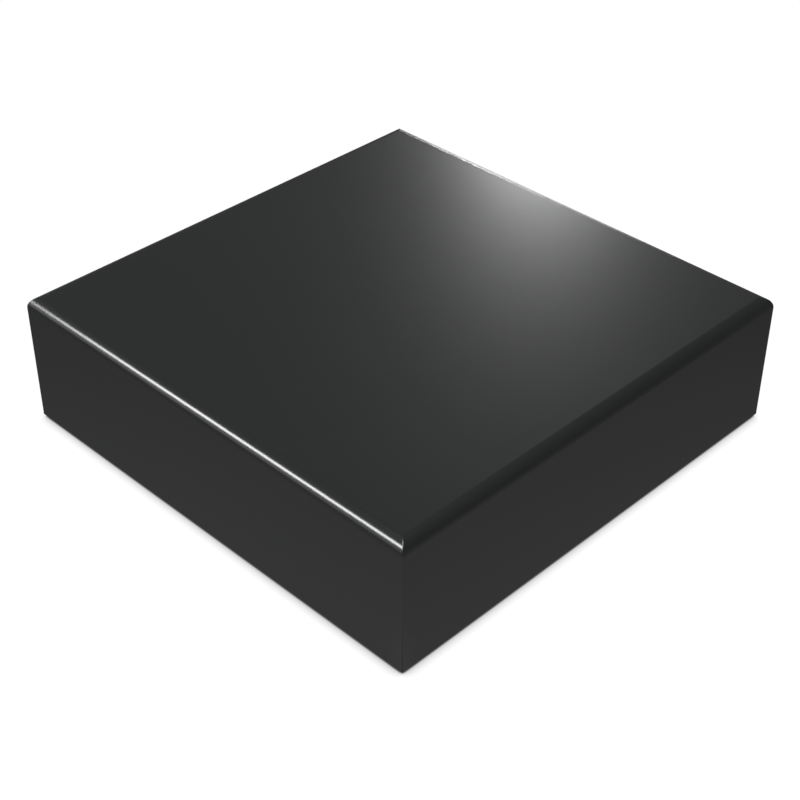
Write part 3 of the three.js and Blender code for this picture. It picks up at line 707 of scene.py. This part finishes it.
def io_panel():
    """The rear panel: a grained face over a lip, with a rounded cutout for every connector."""
    face = PANEL_HIGH.y
    step, face_top, edge = 50.3 * MM, 23.2 * MM, 0.3 * MM
    piece = bar("io_panel", "Y", (PANEL_LOW.x, PANEL_LOW.z), (PANEL_HIGH.x, face_top), step, face,
                0.4 * MM, (0.05 * MM, edge))
    lip, lip_bottom = 42.4 * MM, 2.75 * MM
    join(piece, bar("lip", "Y", (-lip, lip_bottom), (lip, PANEL_HIGH.z), PANEL_LOW.y, step + 0.5 * MM,
                    0.3 * MM, (0.2 * MM, 0)))
    corner, reset_hole = 0.6 * MM, 2.05 * MM
    square = ("ethernet_shield", "optical_jack", "usb_shell")
    shapes = [boxed(node, -HOLE_GAP, corner) for node in square]
    shapes.append(hdmi_shape(-HOLE_GAP, corner))
    shapes.append(round_shape(rear_centre("power_jack_pin"), POWER_NOSE + HOLE_GAP, 64))
    shapes.append(round_shape(rear_centre("reset_button"), reset_hole, 48))
    cut(piece, *[mouth("cutout", "Y", shape, PANEL_LOW.y - PAST, face, edge) for shape in shapes])
    finish_piece(piece, "panel_plastic", "rear_io_panel")


def plug_space():
    """The network plug's space: wide above, then two steps down to its latch."""
    x = middle("ethernet_shield").x
    half, key, hook = 5.95 * MM, 3.2 * MM, 1.9 * MM
    top, shelf, step, low = 19.4 * MM, 12.3 * MM, 10.9 * MM, 9.9 * MM
    right = [(hook, low), (hook, step), (key, step), (key, shelf), (half, shelf), (half, top)]
    left = [(-a, b) for a, b in reversed(right)]
    return polygon_shape([(x + a, b) for a, b in right + left], 0.25 * MM)


def contact_wires():
    """The network jack's eight sprung wires, which rise towards its mouth and sag a little."""
    pitch, count, wire, sag, steps = 1.02 * MM, 8, 0.2 * MM, 0.06 * MM, 16
    start, end, back_z, front_z = 38.2 * MM, 50.1 * MM, 17.65 * MM, 18.75 * MM
    for i in range(count):
        x = middle("ethernet_contacts").x + (i - (count - 1) / 2) * pitch
        rings = []
        for t in (j / steps for j in range(steps + 1)):
            z = back_z + (front_z - back_z) * t - sag * sin(pi * t)
            rings.append((circle_outline((x, z), wire, 12), start + (end - start) * t))
        yield loft("wire", "Y", rings)


def ethernet_port():
    """The network jack: a folded tin shield over a moulded body, with sprung gold wires."""
    low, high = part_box("ethernet_shield")
    skin = 0.3 * MM
    (left, under), (right, top) = section("ethernet_shield")
    shield = bar("ethernet_case", "Y", (left, under), (right, top), low.y, high.y, 0.45 * MM,
                 (0.2 * MM, 0.2 * MM))
    cut(shield, bar("inside", "Y", (left + skin, under - PAST), (right - skin, top - skin),
                    low.y + skin, high.y - skin, 0.2 * MM))
    cut(shield, mouth("opening", "Y", plug_space(), JACK_BACK, high.y, 0.12 * MM))
    finish_piece(shield, "sheet_steel", "ethernet_shield")

    low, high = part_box("ethernet_jack")
    (left, under), (right, top) = section("ethernet_jack")
    body = bar("ethernet_body", "Y", (left, under), (right, top), low.y, high.y, 0.3 * MM,
               (0.1 * MM, 0.1 * MM))
    cut(body, mouth("opening", "Y", plug_space(), JACK_BACK, high.y, 0.2 * MM))
    finish_piece(body, "connector_plastic", "ethernet_jack")

    contacts = gathered("ethernet_wires", list(contact_wires()))
    x, half = middle("ethernet_contacts").x, 5 * MM
    comb_low, comb_high, comb_back, comb_front = 16.6 * MM, 19.2 * MM, 37.6 * MM, 38.9 * MM
    join(contacts, bar("comb", "Y", (x - half, comb_low), (x + half, comb_high), comb_back, comb_front,
                       0.3 * MM, (0.1 * MM, 0.2 * MM)))
    finish_piece(contacts, "gold_contact", "ethernet_contacts", angle=50)


def contact_strips(name, centre, count, pitch, width, start, end, face, way):
    """Plated strips lying on a connector's tongue, each with a ramped tip."""
    thick, sunk = 0.06 * MM, 0.05 * MM
    ramp = [(start, 1.0), (end - 0.5 * MM, 1.0), (end - 0.15 * MM, 0.7), (end, 0.15)]
    strips = []
    for i in range(count):
        x = centre + (i - (count - 1) / 2) * pitch
        left, right = x - width / 2, x + width / 2
        rings = []
        for along, height in ramp:
            near, far = sorted((face - way * sunk, face + way * thick * height))
            rings.append((rounded_outline((left, near), (right, far), 0.015 * MM, 2), along))
        strips.append(loft("strip", "Y", rings))
    return gathered(name, strips)


def tongue(name, node, outline, depth, width, heights, end):
    """A moulded insert: a plug at the back of a connector and a thin tongue towards its mouth."""
    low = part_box(node)[0]
    x = middle(node).x
    piece = solid(name, "Y", outline, low.y, low.y + depth, (0, 0.15 * MM))
    join(piece, bar("blade", "Y", (x - width / 2, heights[0]), (x + width / 2, heights[1]),
                    low.y + depth - 0.4 * MM, end, 0.2 * MM, (0, 0.3 * MM)))
    finish_piece(piece, "connector_plastic", node)


def video_port():
    """The video connector: a drawn steel skin, a tongue and nineteen gold strips."""
    low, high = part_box("hdmi_shell")
    skin = 0.35 * MM
    piece = solid("hdmi_skin", "Y", hdmi_shape(), low.y, high.y, (0.1 * MM, 0.17 * MM))
    through = hdmi_shape(skin, 0.35 * MM)
    cut(piece, mouth("opening", "Y", through, low.y - PAST, high.y, 0.17 * MM))
    finish_piece(piece, "sheet_steel", "hdmi_shell")
    heights = (11.0 * MM, 12.1 * MM)
    back = hdmi_shape(skin + 0.05 * MM, 0.3 * MM)
    tongue("hdmi_blade", "hdmi_insert", back, 2.4 * MM, 11 * MM, heights, high.y - 1.2 * MM)
    x = middle("hdmi_shell").x
    ends = (low.y + 2.2 * MM, high.y - 1.7 * MM)
    upper = contact_strips("upper", x, 10, 1.0 * MM, 0.45 * MM, *ends, heights[1], 1)
    lower = contact_strips("lower", x, 9, 1.0 * MM, 0.45 * MM, *ends, heights[0], -1)
    finish_piece(gathered("hdmi_strips", [upper, lower]), "gold_contact")


def usb_port():
    """The service port: a folded steel skin with two windows on top, a tongue and four gold strips."""
    low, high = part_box("usb_shell")
    skin, edge = 0.3 * MM, 0.14 * MM
    outer, inner = boxed("usb_shell", 0, 0.75 * MM), boxed("usb_shell", skin, 0.45 * MM)
    piece = solid("usb_skin", "Y", outer, low.y, high.y, (0.1 * MM, edge))
    cut(piece, mouth("opening", "Y", inner, low.y - PAST, high.y, edge))
    x, offset, half, window_y = middle("usb_shell").x, 3.2 * MM, 1.2 * MM, (43 * MM, 48 * MM)
    centres = [x + side * offset for side in (-1, 1)]
    cut(piece, *[bar("window", "Z", (at - half, window_y[0]), (at + half, window_y[1]),
                     high.z - 2 * skin, high.z + PAST, 0.3 * MM) for at in centres])
    finish_piece(piece, "sheet_steel", "usb_shell")
    heights = (11.7 * MM, 13.5 * MM)
    back = boxed("usb_shell", skin + 0.05 * MM, 0.4 * MM)
    tongue("usb_blade", "usb_insert", back, 3 * MM, 11.1 * MM, heights, high.y - 1.4 * MM)
    strips = contact_strips("usb_strips", x, 4, 2.5 * MM, 1.1 * MM, low.y + 2.8 * MM, high.y - 2.2 * MM,
                            heights[0], -1)
    finish_piece(strips, "gold_contact")


def optical_port():
    """The optical jack: a body with a cavity, the emitter's pocket and a hinge seat, and the shutter."""
    low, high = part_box("optical_jack")
    x = middle("optical_jack").x
    outer = boxed("optical_jack", 0, 0.5 * MM)
    body = solid("optical_body", "Y", outer, low.y, high.y, (0.2 * MM, 0.2 * MM))
    cavity_half, cavity_low, cavity_high, cavity_end = 3.3 * MM, 10 * MM, 17.3 * MM, 42 * MM
    cavity = box_shape((x - cavity_half, cavity_low), (x + cavity_half, cavity_high), 0.3 * MM)
    cut(body, mouth("cavity", "Y", cavity, cavity_end, high.y, 0.2 * MM))
    pocket_half, pocket_low, pocket_high, pocket_end = 3.4 * MM, 10.4 * MM, 16.4 * MM, 41.4 * MM
    cut(body, bar("pocket", "Y", (x - pocket_half, pocket_low), (x + pocket_half, pocket_high),
                  low.y - PAST, pocket_end, 0.2 * MM))
    # The eye lets the emitter's light through the wall between its pocket and the cavity.
    eye, eye_radius = (x, 13.3 * MM), 1.6 * MM
    cut(body, solid("eye", "Y", round_shape(eye, eye_radius, 36), 41 * MM, cavity_end + 0.5 * MM))
    door_low, door_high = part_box("optical_shutter")
    pivot = (51.2 * MM, 16.7 * MM)
    reach = (door_high.x - door_low.x) / 2 + 0.15 * MM
    cut(body, solid("hinge", "X", round_shape(pivot, 0.46 * MM, 32), x - reach, x + reach))
    finish_piece(body, "connector_plastic", "optical_jack")

    half, side = 0.4 * MM, 3.1 * MM
    door = bar("shutter_door", "Y", (x - side, door_low.z), (x + side, pivot[1] - 0.02 * MM),
               pivot[0] - half, pivot[0] + half, 0.25 * MM, (0.1 * MM, 0.1 * MM))
    frame_width = 0.9 * MM
    panel = box_shape((x - side + frame_width, door_low.z + frame_width),
                      (x + side - frame_width, pivot[1] - 1.2 * MM), 0.3 * MM)
    cut(door, mouth("panel", "Y", panel, pivot[0] + half - 0.18 * MM, pivot[0] + half, 0.08 * MM))
    boss = [(0, 0), (1.0, 0), (0.9, 0.33), (0, 0.37)]
    join(door, turned("boss", "Y", eye, [(r * MM, pivot[0] + rise * MM) for r, rise in boss], 32))
    trunnion = (door_high.x - door_low.x) / 2
    join(door, solid("axle", "X", round_shape(pivot, half, 32), x - trunnion, x + trunnion,
                     (0.08 * MM, 0.08 * MM)))
    finish_piece(door, "connector_plastic", "optical_shutter", body="optical_shutter")


def power_port():
    """The power inlet: a moulded block with a round nose, and the pin down its middle."""
    low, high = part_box("power_jack")
    centre = rear_centre("power_jack_pin")
    shoulder, hole, depth = 48.6 * MM, 3.15 * MM, 11 * MM
    body = solid("power_body", "Y", boxed("power_jack"), low.y, shoulder, (0.2 * MM, 0.3 * MM))
    nose = round_shape(centre, POWER_NOSE, 72)
    join(body, solid("nose", "Y", nose, shoulder - PAST, high.y, (0, 0.25 * MM)))
    cut(body, mouth("hole", "Y", round_shape(centre, hole, 64), high.y - depth, high.y, 0.35 * MM))
    finish_piece(body, "connector_plastic", "power_jack")

    low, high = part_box("power_jack_pin")
    radius, root, root_end = 1.0 * MM, 3.05 * MM, low.y + 1.5 * MM
    soft = 0.6 * MM
    turn = quarter(6)
    profile = [(0, low.y), (root, low.y), (root, root_end - 0.1 * MM), (root - 0.1 * MM, root_end)]
    profile += [(radius + 0.2 * MM, root_end), (radius, root_end + 0.2 * MM)]
    profile += [(radius - soft * (1 - cos(t)), high.y - soft * (1 - sin(t))) for t in turn]
    profile.append((0, high.y))
    finish_piece(turned("power_pin", "Y", centre, profile, 40), "gold_contact", "power_jack_pin")


def reset_parts():
    """The reset button with its dished face, the plunger behind it, and the switch."""
    low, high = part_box("reset_button")
    centre = rear_centre("reset_button")
    rim, stem, rim_end, soft, dish = 2.7 * MM, 1.9 * MM, 48.7 * MM, 0.25 * MM, 0.25 * MM
    turn = quarter(5)
    profile = [(0, low.y), (rim - 0.1 * MM, low.y), (rim, low.y + 0.1 * MM)]
    profile += [(rim, rim_end - 0.1 * MM), (rim - 0.1 * MM, rim_end), (stem, rim_end)]
    profile += [(stem - soft * (1 - cos(t)), high.y - soft * (1 - sin(t))) for t in turn]
    bowl = stem - soft - 0.1 * MM
    profile += [(bowl * cos(t), high.y - dish * sin(t)) for t in turn]
    button = turned("reset_cap", "Y", centre, profile, 56)
    finish_piece(button, "panel_plastic", "reset_button", body="reset_button")

    low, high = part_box("reset_switch_plunger")
    plunger = solid("reset_plunger", "Y", round_shape(centre, 1.5 * MM, 40), low.y, high.y,
                    (0.1 * MM, 0.2 * MM))
    finish_piece(plunger, "connector_plastic", "reset_switch_plunger", body="reset_button")

    low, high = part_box("reset_switch")
    body = solid("reset_switch_body", "Y", boxed("reset_switch", 0, 0.3 * MM), low.y, high.y,
                 (0.2 * MM, 0.2 * MM))
    cut(body, mouth("well", "Y", round_shape(centre, 1.58 * MM, 40), 42.2 * MM, high.y, 0.1 * MM))
    finish_piece(body, "connector_plastic", "reset_switch")


# ------------------------------------------------------------------ what the case holds
def capacitor(side):
    """A can capacitor: a rolled crimp above its foot, a soft shoulder and a scored vent on top."""
    node = f"capacitor_{side}"
    low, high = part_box(node)
    spot = middle(node).xy
    radius, shoulder, sunk = 3.15 * MM, 0.5 * MM, 0.3 * MM
    foot_top = low.z + 0.9 * MM
    crimp_low, crimp_high, crimp_deep = low.z + 1.5 * MM, 0.8 * MM, 0.3 * MM
    crimp = [pi * i / 8 for i in range(9)]
    profile = [(0, foot_top - sunk), (radius, foot_top - sunk), (radius, crimp_low)]
    profile += [(radius - crimp_deep * sin(t), crimp_low + crimp_high * t / pi) for t in crimp]
    profile += [(radius - shoulder * (1 - cos(t)), high.z - shoulder * (1 - sin(t))) for t in quarter(5)]
    profile.append((0, high.z))
    can = turned(f"can_{side}", "Z", spot, profile, 48)
    half = Vector((3.3 * MM, 3.3 * MM))
    join(can, bar("base", "Z", spot - half, spot + half, low.z, foot_top, 0.7 * MM, (0, 0.1 * MM)))
    arm, width = 1.9 * MM, 0.12 * MM
    for reach in (Vector((arm, width)), Vector((width, arm))):
        cut(can, bar("score", "Z", spot - reach, spot + reach, high.z - width, high.z + PAST, 0.05 * MM))
    finish_piece(can, "aluminium", node)


def push_pin(place):
    """A nylon push pin: a domed head, a shank, and a split barb below the board."""
    node = f"heat_sink_pin_{place}"
    low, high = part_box(node)
    head, rim, dome, shank = 2.4 * MM, 0.35 * MM, 0.9 * MM, 1.4 * MM
    barb, tip, edge = 1.9 * MM, 1.2 * MM, 0.1 * MM
    head_low = high.z - rim - dome
    barb_high = low.z + 1.85 * MM
    profile = [(0, low.z), (tip, low.z), (barb, barb_high - edge), (barb - edge, barb_high)]
    profile += [(shank, barb_high), (shank, head_low), (head - 0.05 * MM, head_low)]
    profile += [(head * cos(t), head_low + rim + dome * sin(t)) for t in quarter(6)]
    spot = middle(node).xy
    pin = turned(f"push_pin_{place}", "Z", spot, profile, 40)
    split = Vector((3 * MM, 0.25 * MM))
    cut(pin, bar("split", "Z", spot - split, spot + split, low.z - PAST, barb_high - 2 * edge, edge))
    finish_piece(pin, "white_nylon", node)


# How far the edges of the CAD nodes that are still shown are eased, in mm, by their slot.
EASED = {
    "sheet_steel": 0.10,
    "chip_package": 0.12,
    "connector_plastic": 0.12,
    "board_laminate": 0.05,
    "thermal_silicone": 0.15,
    "aluminium": 0.12,
    "ballast_steel": 0.12,
    "gold_contact": 0.04,
    "clear_acrylic": 0.10,
    "white_nylon": 0.08,
}


def carried_over():
    """Every CAD node that is still shown gets its slot's finish and eased edges."""
    sharp = radians(40)
    for row in frame["record"]["subparts"]:
        node = frame["nodes"][row["node"]]
        if node.hide_render:
            continue
        slot = row["material_slot"]
        node.data.materials.clear()
        node.data.materials.append(MATERIALS[slot])
        weld = node.modifiers.new("weld", "WELD")
        weld.merge_threshold = 0.001 * MM
        if slot == "lead_jacket":
            rounder = node.modifiers.new("round", "SUBSURF")
            rounder.levels = rounder.render_levels = 2
            node.data.shade_smooth()
            continue
        bevel = node.modifiers.new("edges", "BEVEL")
        bevel.width = EASED[slot] * MM
        bevel.segments = 2
        bevel.limit_method = "ANGLE"
        bevel.angle_limit = sharp
        flats = node.modifiers.new("flats", "WEIGHTED_NORMAL")
        flats.weight = 100


shell()
base()
for where in CORNERS:
    foot(where)
screws("case_screw", "cover_screw", under_head=2.75 * MM, face=1.3 * MM, tip=12 * MM)
screws("board_screw", "board_screw_pan", under_head=8.55 * MM, face=9.9 * MM, tip=3.6 * MM)
io_panel()
ethernet_port()
video_port()
usb_port()
optical_port()
power_port()
reset_parts()
for where in ("left", "right"):
    capacitor(where)
for where in ("front", "rear"):
    push_pin(where)
carried_over()


# ------------------------------------------------------------------ stage, light and camera
WHITE = 1.02  # how bright the camera sees the floor and the surround


def floor():
    """A plain pale floor: white to the camera, but for a painted contact shadow, a soft dark line where
    the player meets it.
    What it lights gets a dim painted glow, with a painted pool and a small painted spot of light in
    front of the near corner.
    It is clear from below."""
    half_size, gap = 3.0, 0.02 * MM
    bm = bmesh.new()
    bmesh.ops.create_grid(bm, x_segments=2, y_segments=2, size=half_size)
    piece = from_bmesh("floor", bm)
    piece.location.z = -gap
    n = Nodes("floor_pale")
    n.tree.nodes.remove(n.surface)
    # Painted contact shadow: ambient occlusion near the player darkens the floor's emitted white.
    painted_shadow_ao = n.add("ShaderNodeAmbientOcclusion")
    painted_shadow_ao.samples = 32
    painted_shadow_ao.inputs["Distance"].default_value = 3.3 * MM
    ramp = n.add("ShaderNodeValToRGB")
    # How open to the sky a place is, and how bright the painted contact shadow lets it look.
    stops = [(0.24, 0.05), (0.32, 0.15), (0.44, 0.46), (0.52, 0.63), (0.64, 0.83), (0.85, 1.0)]
    for i, (place, level) in enumerate(stops):
        stop = ramp.color_ramp.elements[i] if i < 2 else ramp.color_ramp.elements.new(place)
        stop.position = place
        stop.color = (level, level, level, 1)
    n.join(painted_shadow_ao.outputs["AO"], ramp.inputs["Fac"])
    seen = n.add("ShaderNodeEmission")
    n.join(ramp.outputs["Color"], seen.inputs["Color"])
    seen.inputs["Strength"].default_value = WHITE
    # Each painted pool of light has a centre, its glow near and far, and the distances where it starts
    # and ends falling.
    pool = n.spread(n.distance_to((-0.12, -0.12, 0)), 0.40, 0.20, 0.08, 0.21)
    spot = n.spread(n.distance_to((-0.074, -0.074, 0)), 0.36, 0, 0.012, 0.034)
    both_glows = n.add("ShaderNodeMath", operation="ADD")
    n.join(pool, both_glows.inputs[0])
    n.join(spot, both_glows.inputs[1])
    glow = n.add("ShaderNodeEmission")
    n.join(both_glows.outputs["Value"], glow.inputs["Strength"])
    # Painted light: the camera sees the white floor, and every other ray sees the painted glow.
    from_above = n.blend(n.add("ShaderNodeLightPath").outputs["Is Camera Ray"], glow, seen)
    clear = n.add("ShaderNodeBsdfTransparent")
    both = n.blend(n.add("ShaderNodeNewGeometry").outputs["Backfacing"], from_above, clear)
    n.join(both.outputs[0], n.tree.nodes["Material Output"].inputs["Surface"])
    piece.data.materials.append(n.material)


def softbox(name, azimuth, elevation, distance, size, power, roll=0.0):
    """An area light that faces the player's middle, from an azimuth in degrees from +X."""
    aim = Vector((0, 0, 15 * MM))
    a, e = radians(azimuth), radians(elevation)
    way = Vector((cos(a) * cos(e), sin(a) * cos(e), sin(e)))
    light = bpy.data.lights.new(name, "AREA")
    light.shape = "RECTANGLE"
    light.size, light.size_y = size
    light.energy = power
    lamp = bpy.data.objects.new(name, light)
    lamp.location = aim + way * distance
    turn = (-way).to_track_quat("-Z", "Y").to_matrix() @ Matrix.Rotation(radians(roll), 3, "Z")
    lamp.rotation_euler = turn.to_euler()
    lamp.visible_camera = False
    bpy.context.scene.collection.objects.link(lamp)
    return lamp


def lighting():
    """Soft lights above and behind, a distant one at the rear right, and cards for the edges.
    Each has its azimuth and elevation in degrees, distance and size in metres, and power in watts."""
    softbox("overhead", 205, 74, 0.6, (0.40, 0.40), 6.2)
    softbox("behind", 105, 12, 0.6, (0.35, 0.25), 3.0)
    softbox("rear_right", 38.3, 23.2, 1.92, (0.112, 0.012), 3.1)
    cards = [
        softbox("rim_card", 32.5, 3.5, 0.66, (0.13, 0.12), 0.33),
        softbox("left_card", 149.0, 27.5, 0.8, (0.50, 0.18), 9.2, roll=18),
        softbox("left_fill", 141.0, 3.0, 0.45, (0.30, 0.16), 0.21),
    ]
    for card in cards:
        card.visible_diffuse = False
    surround_light = 0.15
    world = bpy.data.worlds.new("studio")
    world.use_nodes = True
    tree = world.node_tree
    surround = tree.nodes["Background"]
    surround.inputs["Color"].default_value = (1, 1, 1, 1)
    dim = tree.nodes.new("ShaderNodeMapRange")
    dim.inputs["To Min"].default_value = surround_light
    dim.inputs["To Max"].default_value = WHITE
    direct = tree.nodes.new("ShaderNodeLightPath")
    tree.links.new(direct.outputs["Is Camera Ray"], dim.inputs["Value"])
    tree.links.new(dim.outputs["Result"], surround.inputs["Strength"])
    bpy.context.scene.world = world
    bpy.context.scene.view_settings.view_transform = "Standard"
    bpy.context.scene.view_settings.look = "None"


def camera():
    """A view down on the near corner, from a place set in sides of the case."""
    stand, heading, tilt, roll = Vector((-1.8625, -1.838, 1.9786)), -45.36, 53.38, 0.2
    side = 2 * HALF
    lens = bpy.data.cameras.new("camera")
    lens.sensor_width = 36.0
    lens.lens = 74.4
    lens.clip_start = 0.01
    viewer = bpy.data.objects.new("camera", lens)
    viewer.location = stand * side + Vector((0, 0, SHELL_LOW.z))
    level = Matrix.Rotation(radians(heading), 3, "Z") @ Matrix.Rotation(radians(tilt), 3, "X")
    viewer.rotation_euler = (level @ Matrix.Rotation(radians(roll), 3, "Z")).to_euler()
    bpy.context.scene.collection.objects.link(viewer)
    bpy.context.scene.camera = viewer


floor()
lighting()
camera()
